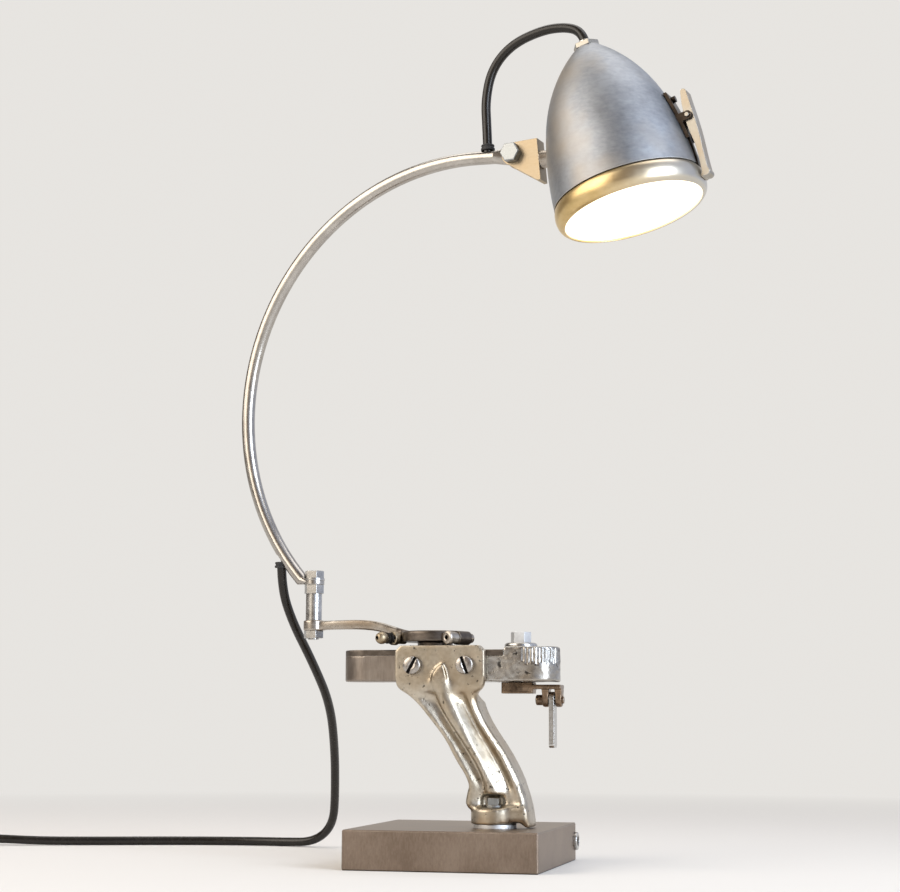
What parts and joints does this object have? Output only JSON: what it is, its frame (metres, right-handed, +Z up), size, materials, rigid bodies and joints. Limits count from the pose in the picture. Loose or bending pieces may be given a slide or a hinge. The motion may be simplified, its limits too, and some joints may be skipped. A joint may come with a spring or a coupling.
{
  "type": "desk lamp",
  "caption": "Desk lamp with a steel block base, a cast strut, a swivelling crank, a swept tube arm and a tilting bell shade with a latched rim.",
  "frame": {"origin": "middle of the steel block's underside, on the desk", "axes": "+Z up, +X towards the side that the shade reaches to, -Y towards the person at the desk"},
  "size_m": [0.7764, 0.2891, 0.6162],
  "materials": {
    "block_steel": "milled, dark warm grey",
    "pad_felt": "felt",
    "bush_chrome": "turned",
    "cast_steel": "polished cast",
    "hub_steel": "satin",
    "bright_zinc": "zinc plated",
    "tube_steel": "satin tube",
    "shade_aluminium": "brushed and dull",
    "rim_metal": "satin",
    "lens_glass": "opal",
    "seal_rubber": "black",
    "reflector_metal": "bright",
    "holder_plastic": "black",
    "cap_brass": "nickelled brass",
    "bulb_glass": "opal",
    "latch_metal": "bright",
    "dark_steel": "dark brown",
    "tag_metal": "bright strip",
    "cord_jacket": "glossy black",
    "plug_plastic": "black",
    "pin_brass": "plated",
    "spacer_plastic": "black"
  },
  "bodies": {
    "stand": {"base_block": "block_steel", "base_pad": "pad_felt", "side_bush": "bush_chrome", "foot_washer": "bright_zinc", "foot_bolt": "bright_zinc", "strut": "cast_steel", "plate_screws": "bright_zinc", "head_body": "cast_steel", "top_plate": "hub_steel", "hub_screw": "bright_zinc", "cam_washer": "bright_zinc", "cord_drop_lower": "cord_jacket", "cord_floor": "cord_jacket", "switch_base": "plug_plastic", "switch_cover": "plug_plastic", "cord_tail_in": "cord_jacket", "cord_coil": "cord_jacket", "cord_tail_out": "cord_jacket", "plug_body": "plug_plastic", "plug_pins": "pin_brass"},
    "crank": {"crank_lever": "hub_steel", "left_fitting": "hub_steel", "right_fitting": "hub_steel", "arm_bolt": "bright_zinc", "arm_washer": "bright_zinc", "arm_nuts": "bright_zinc", "arm_spacer": "bright_zinc", "cord_drop_upper": "cord_jacket"},
    "arm": {"arm_tube": "tube_steel", "arm_wires": "cord_jacket", "cord_loop": "cord_jacket"},
    "shade": {"shade_bracket": "bright_zinc", "friction_washers": "bright_zinc", "shade_bolt": "bright_zinc", "shade_nut": "bright_zinc", "bracket_spacer": "spacer_plastic", "shade_screw": "bright_zinc", "shade_screw_nut": "bright_zinc", "shade_shell": "shade_aluminium", "rim_ring": "rim_metal", "lens": "lens_glass", "lens_gasket": "seal_rubber", "reflector": "reflector_metal", "gland_tube": "bright_zinc", "gland_nuts": "bright_zinc", "lampholder": "holder_plastic", "bulb_cap": "cap_brass", "bulb": "bulb_glass", "latch_strap": "latch_metal", "latch_pin": "latch_metal", "latch_rivet": "latch_metal"},
    "latch": {"latch_lever": "latch_metal"},
    "cam": {"cam_shaft": "bright_zinc", "cam_arm": "dark_steel", "clevis_pin": "dark_steel"},
    "tag": {"hanging_tag": "tag_metal"},
    "rocker": {"switch_rocker": "plug_plastic"}
  },
  "joints": [
    {"name": "hub_swivel", "type": "hinge", "parent": "stand", "child": "crank", "pos_m": [-0.0193, -0.01, 0.16], "axis": [0, 0, 1], "range_deg": [-30, 30], "deforming": ["cord_drop_lower"]},
    {"name": "arm_swivel", "type": "hinge", "parent": "crank", "child": "arm", "pos_m": [-0.1131, -0.01, 0.205], "axis": [0, 0, 1], "range_deg": [-40, 40], "deforming": ["cord_drop_upper"]},
    {"name": "shade_tilt", "type": "hinge", "parent": "arm", "child": "shade", "pos_m": [0.04861, -0.04437, 0.51612], "axis": [-0.2079, -0.9781, 0], "range_deg": [-25, 35], "deforming": ["cord_loop"]},
    {"name": "latch_press", "type": "hinge", "parent": "shade", "child": "latch", "pos_m": [0.18037, -0.07238, 0.52733], "axis": [-0.2079, -0.9781, 0], "range_deg": [0, 14], "stiffness_Nm_per_rad": 0.08, "springref_deg": -5.73},
    {"name": "cam_swivel", "type": "hinge", "parent": "stand", "child": "cam", "pos_m": [0.0451, -0.01, 0.14], "axis": [0, 0, 1], "range_deg": [-25, 25]},
    {"name": "tag_swing", "type": "hinge", "parent": "cam", "child": "tag", "pos_m": [0.0684, -0.01, 0.1189], "axis": [1, 0, 0], "range_deg": [-60, 60]},
    {"name": "switch_rock", "type": "hinge", "parent": "stand", "child": "rocker", "pos_m": [-0.46942, 0.09815, 0.0145], "axis": [0.195, -0.9808, 0], "range_deg": [0, 14]}
  ]
}
